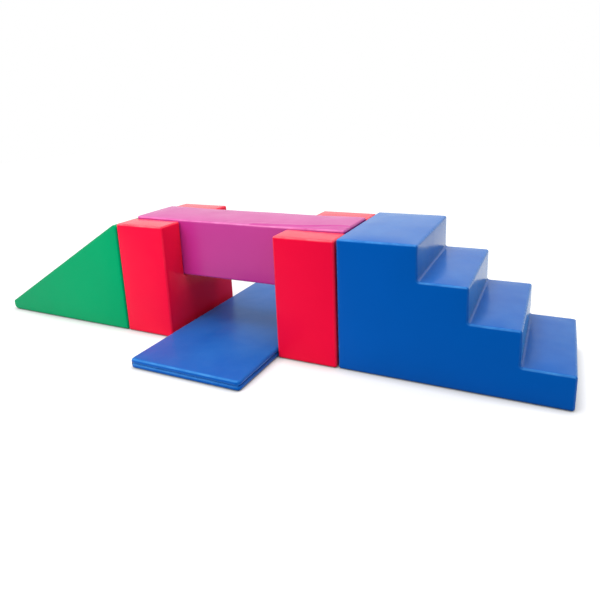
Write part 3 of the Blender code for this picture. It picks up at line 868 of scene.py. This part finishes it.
def make_foam(name):
    """Open-cell foam with small pores."""
    g = Finish(name)
    pores = g.cells(420.0)
    cells = g.plus(pores, g.times(g.cells(1100.0), 0.5))
    base = g.mix(g.ramp(pores, 0.1, 0.7), tint(FOAM, 0.72), tint(FOAM, 1.04))
    base = g.mix(g.ramp(g.noise(3.0), 0.3, 0.7, 0.0, 0.25), base, tint(FOAM, 0.9, -0.02))
    rough = g.ramp(g.noise(90.0), 0.3, 0.7, 0.86, 0.98)
    return g.finish(base, rough, g.bump(cells, 0.0005, 0.7))


def make_grip(name):
    """Woven non-slip fabric with rows of raised rubber dots."""
    g = Finish(name)
    per_metre = (1 / GRIP_PITCH, 1 / GRIP_PITCH, 0.0)
    cell = g.vector_math("FRACTION", g.vector_math("MULTIPLY", g.place, per_metre)["Vector"])
    from_middle = g.vector_math("DISTANCE", cell["Vector"], (0.5, 0.5, 0.0))["Value"]
    dot = g.ramp(from_middle, 0.20, 0.27, 1.0, 0.0)
    weave = g.stripes(210.0, distortion=1.2)
    base = g.mix(dot, tint(GREY), tint(GREY, 0.35))
    base = g.mix(g.ramp(weave, 0.2, 0.8, 0.0, 0.4), base, tint(GREY, 1.5))
    height = g.plus(dot, g.times(weave, 0.2))
    return g.finish(base, g.ramp(dot, 0.0, 1.0, 0.9, 0.55), g.bump(height, 0.0005, 0.6))


def make_tape(name):
    """Woven polyester tape."""
    g = Finish(name)
    ribs = g.stripes(420.0, bands_direction="X")
    weave = g.math("MAXIMUM", ribs, g.stripes(300.0, bands_direction="Z"))
    base = g.mix(g.ramp(weave, 0.2, 0.9), tint(BLACK, 0.5), tint(BLACK, 2.4))
    rough = g.ramp(g.noise(160.0), 0.3, 0.7, 0.62, 0.85)
    return g.finish(base, rough, g.bump(weave, 0.0002, 0.6))


def make_nylon(name):
    """The moulded teeth of a zip."""
    g = Finish(name)
    base = g.mix(g.ramp(g.noise(300.0), 0.3, 0.7), tint(BLACK, 0.8), tint(BLACK, 1.8))
    rough = g.ramp(g.noise(700.0), 0.3, 0.7, 0.28, 0.44)
    return g.finish(base, rough, g.bump(g.noise(900.0), 0.0001, 0.3))


def make_nickel(name):
    """Plated metal, brushed along its length and a little worn."""
    g = Finish(name)
    brushed = g.noise(2600.0, 3.0, g.mapped(Scale=(1.0, 1.0, 0.08)))
    worn = g.ramp(g.noise(210.0, 3.0), 0.35, 0.75, 0.0, 0.5)
    base = g.mix(worn, tint(NICKEL), tint(NICKEL, 0.62))
    rough = g.ramp(brushed, 0.25, 0.75, 0.20, 0.38)
    return g.finish(base, rough, g.bump(brushed, 0.00005, 0.25), Metallic=1.0)


def make_thread(name, colour):
    """Twisted polyester thread."""
    g = Finish(name)
    twist = g.stripes(900.0, g.mapped(Rotation=(0.0, 0.7, 0.0)))
    base = g.mix(g.ramp(twist, 0.2, 0.8), tint(colour, 0.55), tint(colour, 1.0, 0.03))
    rough = g.ramp(g.noise(500.0), 0.3, 0.7, 0.45, 0.6)
    return g.finish(base, rough, g.bump(twist, 0.0001, 0.5))


VINYL = {name: make_vinyl(name, **vinyl) for name, vinyl in VINYLS.items()}
MAT_VINYL = make_vinyl("mat_vinyl", **{**VINYLS["blue_vinyl"], "smoothest": MAT_SMOOTHEST})
THREAD = {name: make_thread(f"{name}_thread", vinyl["colour"]) for name, vinyl in VINYLS.items()}
FOAM_MATERIAL = make_foam("open_cell_foam")
GRIP_MATERIAL = make_grip("grip_fabric")
TAPE_MATERIAL = make_tape("zip_tape_weave")
NYLON_MATERIAL = make_nylon("zip_nylon")
NICKEL_MATERIAL = make_nickel("zip_nickel")


def add_piece(name, mesh, material, body, replaced=()):
    """A piece of the object with its finish, on its body if it has only one."""
    piece = new_object(name, mesh)
    mesh.materials.clear()
    mesh.materials.append(material)
    if body:
        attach(piece, body)
    if replaced:
        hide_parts(*replaced)
    return piece


def cover_faces(node):
    """The corners of the cover's faces round a foam node."""
    low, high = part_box(node)
    inset = Vector((FOAM_INSET,) * 3)
    return low - inset, high + inset


def box_outline(low, high, swells=(0.0, 0.0, 0.0, 0.0)):
    """The outline of a box seen from the front, with the swell of each side."""
    corners = ((low.x, low.z), (high.x, low.z), (high.x, high.z), (low.x, high.z))
    return [(*corner, swell) for corner, swell in zip(corners, swells)]


def opening(node, *spare):
    """The opening in a cover that holds a node, with so much to spare along X, Y and Z."""
    low, high = (np.array(corner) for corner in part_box(node))
    return low - spare, high + spare


def openings(prefix, base=None):
    """The openings in a cover for its zip's tape and its non-slip sheet."""
    holes = [opening(f"{prefix}_zip_tape", CLEARANCE, OPENING_DEPTH, CLEARANCE)]
    if base:
        holes.append(opening(base, CLEARANCE, CLEARANCE, OPENING_DEPTH))
    return holes


def add_cover(prefix, block, slot, seed, vinyl=None):
    name = f"{prefix}_vinyl_cover"
    mesh = block_mesh(name, block, seed, COVER)
    cover = add_piece(name, mesh, vinyl or VINYL[slot], prefix, [f"{prefix}_cover"])
    return cover


def add_core(node, body, outline=None, radius=BLOCK_RADIUS, rear_radius=BLOCK_RADIUS, **more):
    """A foam core in the place of a foam node."""
    low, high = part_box(node)
    block = Block(
        outline or box_outline(low, high), "Y", low.y, high.y, radius - FOAM_INSET,
        rear_radius - FOAM_INSET, sewn=False, step=CORE_STEP, round_steps=CORE_ROUND_STEPS,
        **more,
    )
    mesh = block_mesh(f"{node}_core", block)
    core = add_piece(f"{node}_core", mesh, FOAM_MATERIAL, body, [node])
    return core


def bar_faces(first, rows, count, way=1):
    """The faces of a closed bar made of rows of points, wound the other way for -1."""
    faces = []
    for here in range(first, first + (rows - 1) * count, count):
        there = here + count
        for k in range(count):
            m = (k + 1) % count
            faces.append([here + k, here + m, there + m, there + k][::way])
    last = first + (rows - 1) * count
    faces.append([first + k for k in reversed(range(count))][::way])
    faces.append([last + k for k in range(count)][::way])
    return faces


def bars_mesh(name, bars, sides):
    """Many short bars, each given by its path of (place, radius) points."""
    points, faces = [], []
    for path in bars:
        spine = [np.array(place) for place, _ in path]
        way = unit(spine[-1] - spine[0])
        aside = unit(np.cross(way, (0.0, 1.0, 0.3)))
        over = np.cross(way, aside)
        faces += bar_faces(len(points), len(path), sides)
        for place, (_, radius) in zip(spine, path):
            for k in range(sides):
                turn = 2 * math.pi * k / sides
                around = aside * math.cos(turn) + over * math.sin(turn)
                points.append((place + radius * around).tolist())
    return new_mesh(name, points, faces, smooth_below=50)


def add_zip(prefix, slot):
    """A zip's two tapes, its teeth, and the rows of stitches that hold it."""
    low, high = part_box(f"{prefix}_zip_tape")
    face = high.y - COIL_PROUD
    middle = (low.z + high.z) / 2
    half = (high.z - low.z) / 2
    back = face - COVER
    section = (
        (TAPE_SPLIT, back), (TAPE_SPLIT, back + TAPE_THICKNESS),
        (half * 0.45, back + TAPE_THICKNESS), (half, back + 0.8 * TAPE_THICKNESS), (half, back),
    )
    stations = spread(low.x, high.x, TAPE_STEP)
    points, faces = [], []
    for side in (-1, 1):
        faces += bar_faces(len(points), len(stations), len(section), side)
        points += [(x, y, middle + side * out) for x in stations for out, y in section]
    name = f"{prefix}_zip_tapes"
    tape = new_mesh(name, points, faces)
    add_piece(name, tape, TAPE_MATERIAL, prefix, [f"{prefix}_zip_tape"])

    front = face + COIL_PROUD - TOOTH_RADIUS
    reach = half * 0.34
    teeth = []
    for k in range(2 * int((high.x - low.x - 2 * TEETH_MARGIN) / TOOTH_PITCH)):
        out = reach if k % 2 else -reach
        x = low.x + TEETH_MARGIN + k * TOOTH_PITCH / 2
        teeth.append([
            ((x, front - TOOTH_TURN, middle + out), 0.8 * TOOTH_RADIUS),
            ((x, front, middle + out * 0.6), TOOTH_RADIUS),
            ((x, front, middle - out * 0.25), 1.1 * TOOTH_RADIUS),
        ])
    name = f"{prefix}_zip_teeth"
    add_piece(name, bars_mesh(name, teeth, 6), NYLON_MATERIAL, prefix)

    stitches = []
    for side in (-1, 1):
        z = middle + side * (half + STITCH_MARGIN)
        for k in range(int((high.x - low.x) / STITCH_PITCH)):
            x = low.x + STITCH_PITCH * (k + 0.5)
            stitches.append([
                ((x - STITCH_LENGTH / 2, face - THREAD_RADIUS, z), 0.7 * THREAD_RADIUS),
                ((x, face + 0.4 * THREAD_RADIUS, z), THREAD_RADIUS),
                ((x + STITCH_LENGTH / 2, face - THREAD_RADIUS, z), 0.7 * THREAD_RADIUS),
            ])
    name = f"{prefix}_zip_stitches"
    add_piece(name, bars_mesh(name, stitches, 5), THREAD[slot], prefix)


def flat_plate(outline, hole, thickness, soften):
    """A plate from an outline with a hole, as (points, faces), with eased edges."""
    curve = bpy.data.curves.new("plate", "CURVE")
    curve.dimensions = "2D"
    curve.fill_mode = "BOTH"
    curve.extrude = thickness / 2 - soften
    curve.bevel_depth = soften
    curve.bevel_resolution = 2
    curve.offset = -soften
    for loop in filter(None, (outline, hole)):
        spline = curve.splines.new("POLY")
        spline.points.add(len(loop) - 1)
        for point, place in zip(spline.points, loop):
            point.co = (*place, 0.0, 1.0)
        spline.use_cyclic_u = True
    plate = new_object("plate", curve)
    bpy.context.view_layer.update()
    evaluated = plate.evaluated_get(bpy.context.evaluated_depsgraph_get())
    mesh = bpy.data.meshes.new_from_object(evaluated)
    bpy.data.objects.remove(plate)
    return [tuple(v.co) for v in mesh.vertices], [list(p.vertices) for p in mesh.polygons]


def oval(middle, across, along, steps):
    """A stadium outline round (0, middle), with its long way along the second axis."""
    radius = across / 2
    straight = along / 2 - radius
    points = []
    for k in range(steps):
        turn = 2 * math.pi * (k + 0.5) / steps
        lift = straight if math.sin(turn) > 0 else -straight
        points.append((radius * math.cos(turn), middle + lift + radius * math.sin(turn)))
    return points


def add_puller(prefix):
    """The zip's slider, with its lug and a pull that hangs or lies along the zip."""
    node = f"{prefix}_zip_slider"
    low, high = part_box(node)
    hangs = high.z - low.z > high.x - low.x
    wide = (high.x - low.x) if hangs else (high.z - low.z)
    lug = low.y + SLIDER_THICKNESS
    if hangs:
        centre = Vector(((low.x + high.x) / 2, 0.0, high.z - SLIDER_LENGTH / 2))
    else:
        centre = Vector((low.x + SLIDER_LENGTH / 2, 0.0, (low.z + high.z) / 2))
    right = ((0.28, -0.50), (0.50, -0.30), (0.50, 0.22), (0.34, 0.50), (0.10, 0.40))
    shield = [*right, *[(-x, y) for x, y in reversed(right)]]
    shield = [(x * wide, y * SLIDER_LENGTH) for x, y in shield]
    tab_middle = -PULL_LENGTH / 2 + 0.1 * SLIDER_LENGTH
    tab = oval(tab_middle, 0.86 * wide, PULL_LENGTH, 28)
    slot = oval(tab_middle - 0.22 * PULL_LENGTH, 0.34 * wide, 0.36 * PULL_LENGTH, 16)
    eye = oval(0.02 * SLIDER_LENGTH, 0.34 * wide, 0.46 * SLIDER_LENGTH, 14)
    parts = (
        (shield, None, SLIDER_THICKNESS, low.y + SLIDER_THICKNESS / 2, SLIDER_SOFTEN),
        (tab, slot, PULL_THICKNESS, high.y - PULL_THICKNESS / 2, PULL_SOFTEN),
        (eye, None, high.y - lug - EYE_SPARE, (high.y + lug) / 2, PULL_SOFTEN),
    )
    points, faces = [], []
    for outline, hole, thick, out, soften in parts:
        plate, plate_faces = flat_plate(outline, hole, thick, soften)
        faces += [[len(points) + k for k in face] for face in plate_faces]
        for across, along, deep in plate:
            x, z = (across, along) if hangs else (-along, across)
            points.append((centre.x + x, out + deep, centre.z + z))
    name = f"{prefix}_zip_puller"
    mesh = new_mesh(name, points, faces, smooth_below=40, merged=True)
    add_piece(name, mesh, NICKEL_MATERIAL, f"{prefix}_zip", [node])


def add_underside(prefix, body, plan=None):
    """The non-slip sheet under a module, with a softened rim."""
    node, name = f"{prefix}_base", f"{prefix}_underside"
    low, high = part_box(node)
    block = Block(
        box_outline(low, high), "Y", low.y, high.y, SHEET_RADIUS, plan=plan, sewn=False,
        step=CORE_STEP, round_steps=SHEET_ROUND_STEPS,
    )
    mesh = block_mesh(name, block)
    sheet = add_piece(name, mesh, GRIP_MATERIAL, body, [node])
    return sheet


def inward(outline, distance):
    """The outline's corners moved inwards by a distance, with no swell."""
    corners = [np.array(corner[:2], float) for corner in outline]
    moved = []
    for i, here in enumerate(corners):
        into = unit(here - corners[i - 1])
        out = unit(corners[(i + 1) % len(corners)] - here)
        inner = np.array([-into[1], into[0]]) + np.array([-out[1], out[0]])
        moved.append((*(here + inner * distance / (inner @ inner / 2)), 0.0))
    return moved


def dress_ramp():
    low, high = cover_faces("ramp_foam")
    outline = [
        (low.x, FLOOR_GAP, 0.0), (high.x, FLOOR_GAP, SLIGHT_SWELL), (high.x, RAMP_TOP, SWELL),
        (low.x, RAMP_TOE, 0.0),
    ]
    block = Block(
        outline, "Y", low.y, high.y, end_swells=(SWELL, SWELL),
        corner_radii={0: TOE_RADIUS, 2: APEX_RADIUS}, holes=openings("ramp", "ramp_base"),
    )
    add_cover("ramp", block, "green_vinyl", 3.1)
    core_radii = {i: radius - FOAM_INSET for i, radius in block.corner_radii.items()}
    add_core("ramp_foam", "ramp", inward(outline, FOAM_INSET), corner_radii=core_radii)


def dress_support(prefix, outer_swells, seed, dents=()):
    low, high = cover_faces(f"{prefix}_lower_foam")
    front = cover_faces(f"{prefix}_front_cheek_foam")[1].y
    rear = cover_faces(f"{prefix}_rear_cheek_foam")[0].y
    top, floor = cover_faces(f"{prefix}_front_cheek_foam")[1].z, high.z
    outline = [
        (low.y, FLOOR_GAP, 0.0), (high.y, FLOOR_GAP, SWELL), (high.y, top, SLIGHT_SWELL),
        (rear, top, 0.0), (rear, floor, 0.0), (front, floor, 0.0),
        (front, top, SLIGHT_SWELL), (low.y, top, SWELL),
    ]
    block = Block(
        outline, "X", low.x, high.x, fillet=NOTCH_FILLET, end_swells=outer_swells,
        holes=openings(prefix, f"{prefix}_base"), dents=dents,
    )
    add_cover(prefix, block, "red_vinyl", seed)
    for part in ("lower_foam", "front_cheek_foam", "rear_cheek_foam"):
        add_core(f"{prefix}_{part}", prefix)


def dress_bridge(tunnel):
    low, high = cover_faces("bridge_foam")
    top = high.z + BRIDGE_RISE
    outline = [
        (low.y, low.z, 0.0), (high.y, low.z, SWELL), (high.y, top, SWELL), (low.y, top, SWELL),
    ]

    def on_top(places, radius, depth, shift=0.0):
        path = [(low.x + x, low.y + (y + shift), top) for x, y in places]
        return path, (0, 0, 1), radius, depth

    dents = [
        on_top([(0.02, 0.06), (0.02, 0.19)], 0.17, -0.0040),
        on_top([(0.99, 0.06), (0.99, 0.19)], 0.12, -0.0030),
        on_top([(0.36, 0.19), (0.42, 0.11), (0.48, 0.03)], 0.012, 0.0012),
        on_top([(0.34, 0.19), (0.40, 0.11), (0.46, 0.03)], 0.014, -0.0010),
        on_top(BRIDGE_FOLD, 0.0075, 0.0030),
        on_top(BRIDGE_FOLD, 0.011, -0.0018, BESIDE_FOLD),
        on_top(BRIDGE_FOLD[2:], 0.011, -0.0012, -BESIDE_FOLD),
    ]
    block = Block(
        outline, "X", low.x, high.x, end_swells=(SLIGHT_SWELL, EDGE_SWELL),
        holes=openings("bridge"), free=tunnel, dents=dents, step=BRIDGE_STEP,
    )
    add_cover("bridge", block, "purple_vinyl", 11.3)
    add_core("bridge_foam", "bridge")


def dress_stairs():
    slabs = [cover_faces(f"stairs_foam_slab_{i + 1}") for i in range(4)]
    low = slabs[0][0]
    outline = [(low.x, FLOOR_GAP, 0.0), (slabs[-1][1].x, FLOOR_GAP, SWELL)]
    for i in (3, 2, 1, 0):
        start = slabs[i - 1][1].x if i else low.x
        outline.append((slabs[i][1].x, slabs[i][1].z, SWELL))
        outline.append((start, slabs[i][1].z, SWELL if i else SLIGHT_SWELL))
    block = Block(
        outline, "Y", low.y, slabs[0][1].y, fillet=STAIR_FILLET, end_swells=(SWELL, SWELL),
        holes=openings("stairs", "stairs_base"),
    )
    add_cover("stairs", block, "blue_vinyl", 17.7)
    for i in range(4):
        add_core(f"stairs_foam_slab_{i + 1}", "stairs")


def dress_mat(prefix, top_swell, seed, base=None):
    plan = cover_faces(f"{prefix}_foam")
    low, high = plan
    block = Block(
        box_outline(low, high, (0.0, EDGE_SWELL, top_swell, 0.0)), "Y", low.y, high.y,
        MAT_RADIUS, MAT_REAR_RADIUS, end_swells=(EDGE_SWELL, EDGE_SWELL),
        holes=openings(prefix, base), plan=plan,
    )
    add_cover(prefix, block, "blue_vinyl", seed, MAT_VINYL)
    add_core(
        f"{prefix}_foam", prefix, radius=MAT_RADIUS, rear_radius=MAT_REAR_RADIUS, plan=plan,
    )


def add_hinge():
    """The strip of vinyl that joins the mat's panels along the fold."""
    low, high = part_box("mat_hinge_welt")
    plan = cover_faces("mat_lower_foam")
    panel = plan[0].x
    middle = (low.z + high.z) / 2
    stations = spread(low.y, high.y, STEP)
    levels = [HINGE_HALF * (2 * k / HINGE_LEVELS - 1) for k in range(HINGE_LEVELS + 1)]
    y, level = (part.ravel() for part in np.meshgrid(stations, levels, indexing="ij"))
    sink = GROOVE_DEPTH * np.exp(-(level / GROOVE_WIDTH) ** 2)
    sink = sink + np.maximum(0.0, np.abs(level) - HINGE_EDGE) * HINGE_EDGE_SLOPE
    skin = np.stack([panel - HINGE_PROUD + sink, y, middle + level], axis=-1)
    grid = np.arange(len(skin)).reshape(len(stations), len(levels))
    quads = [grid[:-1, :-1], grid[:-1, 1:], grid[1:, 1:], grid[1:, :-1]]
    shapes = with_inner_side([np.stack(quads, axis=-1).reshape(-1, 4)], len(skin))
    points = rounder_corners(np.concatenate([skin, skin + (HINGE_THICKNESS, 0.0, 0.0)]), plan)
    faces = [face for faces in shapes for face in faces.tolist()]
    mesh = new_mesh("mat_hinge_strip", points.tolist(), faces, merged=True)
    mesh.shade_smooth()
    strip = add_piece(
        "mat_hinge_strip", mesh, VINYL["blue_vinyl"], None, ["mat_hinge_welt"],
    )
    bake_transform(strip)


def add_camera():
    data = bpy.data.cameras.new("camera")
    data.sensor_fit = "HORIZONTAL"
    data.lens = FOCAL / PHOTO_SIZE * data.sensor_width
    data.shift_x = (PHOTO_SIZE / 2 - AXIS_COLUMN) / PHOTO_SIZE
    data.shift_y = (AXIS_ROW - PHOTO_SIZE / 2) / PHOTO_SIZE
    forward = Vector((
        math.sin(YAW) * math.cos(PITCH), math.cos(YAW) * math.cos(PITCH), -math.sin(PITCH),
    ))
    level = Vector((math.cos(YAW), -math.sin(YAW), 0.0))
    upright = level.cross(forward)
    right = level * math.cos(ROLL) + upright * math.sin(ROLL)
    up = upright * math.cos(ROLL) - level * math.sin(ROLL)
    axes = Matrix((right, up, -forward)).transposed()
    camera = new_object("camera", data)
    camera.matrix_world = Matrix.Translation(CAMERA_PLACE) @ axes.to_4x4()
    bpy.context.scene.camera = camera


def add_lamp(name, place, aim, size, power, spread=180.0):
    data = bpy.data.lights.new(name, "AREA")
    data.shape = "DISK"
    data.size = size
    data.energy = power
    data.spread = math.radians(spread)
    lamp = new_object(name, data)
    lamp.location = place
    lamp.rotation_mode = "QUATERNION"
    lamp.rotation_quaternion = (Vector(aim) - Vector(place)).to_track_quat("-Z", "Y")


def join_backdrop(nodes, output, light, seen):
    """Sends one shader to the camera, its reflections and glass, and one to all other light."""
    rays = nodes.add("ShaderNodeLightPath").outputs
    total = rays["Is Camera Ray"]
    for name in ("Is Glossy Ray", "Is Transmission Ray"):
        total = nodes.math("MAXIMUM", total, rays[name])
    either = nodes.add("ShaderNodeMixShader", {0: total, 1: light, 2: seen})
    nodes.add(output, {"Surface": either.outputs[0]})


def add_world():
    """Soft white light, which the camera sees as plain white."""
    world = bpy.data.worlds.new("studio")
    bpy.context.scene.world = world
    nodes = Nodes(world)
    nodes.tree.nodes.clear()
    light, seen = (
        nodes.add("ShaderNodeBackground", {"Color": tint((1.0,) * 3), "Strength": strength})
        for strength in (WORLD_LIGHT, 1.0)
    )
    join_backdrop(nodes, "ShaderNodeOutputWorld", light.outputs[0], seen.outputs[0])


def add_floor():
    """A floor that the camera sees almost white, with the object's shadow."""
    corners = [(-1, -1), (1, -1), (1, 1), (-1, 1)]
    points = [(x * FLOOR_SIZE, y * FLOOR_SIZE, 0.0) for x, y in corners]
    mesh = new_mesh("studio_floor", points, [[0, 1, 2, 3]])
    material = bpy.data.materials.new("studio_floor")
    nodes = Nodes(material)
    nodes.tree.nodes.clear()
    light, shaded = (
        nodes.add("ShaderNodeBsdfDiffuse", {"Color": tint((level,) * 3)}).outputs[0]
        for level in (FLOOR_COLOUR, FLOOR_SEEN_COLOUR)
    )
    place = nodes.add("ShaderNodeTexCoord").outputs["Object"]
    far = nodes.vector_math("LENGTH", place)["Value"]
    close = nodes.add("ShaderNodeAmbientOcclusion", {"Distance": CONTACT_SHADOW})
    glow = nodes.add("ShaderNodeEmission", {
        "Color": close.outputs["Color"],
        "Strength": nodes.ramp(far, *GLOW_DISTANCES, *GLOW_STRENGTHS),
    })
    seen = nodes.add("ShaderNodeAddShader", {0: shaded, 1: glow.outputs[0]}).outputs[0]
    join_backdrop(nodes, "ShaderNodeOutputMaterial", light, seen)
    mesh.materials.append(material)
    new_object("studio_floor", mesh)


dress_ramp()
left_low, left_high = cover_faces("left_support_lower_foam")
right_low, _ = cover_faces("right_support_lower_foam")
dimple_place = (left_high.x - DIMPLE_IN, left_low.y, DIMPLE_HEIGHT)
dimple = ([dimple_place, dimple_place], (0, -1, 0), 0.030, 0.0016)
dress_support("left_support", (SLIGHT_SWELL, SWELL), 5.9, [dimple])
dress_support("right_support", (SNUG_SWELL, SLIGHT_SWELL), 8.4)
dress_bridge((left_high.x + 0.01, right_low.x - 0.01))
dress_stairs()
dress_mat("mat_lower", 0.0, 21.0, "mat_base")
dress_mat("mat_upper", MAT_SWELL, 23.5)
add_hinge()
for prefix in ("ramp", "left_support", "right_support", "stairs"):
    add_underside(prefix, prefix)
add_underside("mat", "mat_lower", cover_faces("mat_lower_foam"))
for prefix, slot in ZIPS.items():
    add_zip(prefix, slot)
    add_puller(prefix)

add_camera()
add_world()
add_floor()
add_lamp("key", (-0.80, -2.4, 1.6), aim=(-0.50, 0.0, 0.3), size=1.6, power=9.5, spread=82.0)
add_lamp("overhead", (0.5, 0.0, 3.0), aim=(0.2, 0.0, 0.0), size=2.6, power=64.0)
add_lamp("right", (2.9, 0.0, 1.6), aim=(1.0, 0.0, 0.1), size=1.6, power=1.0)
bpy.context.scene.view_settings.view_transform = "Standard"
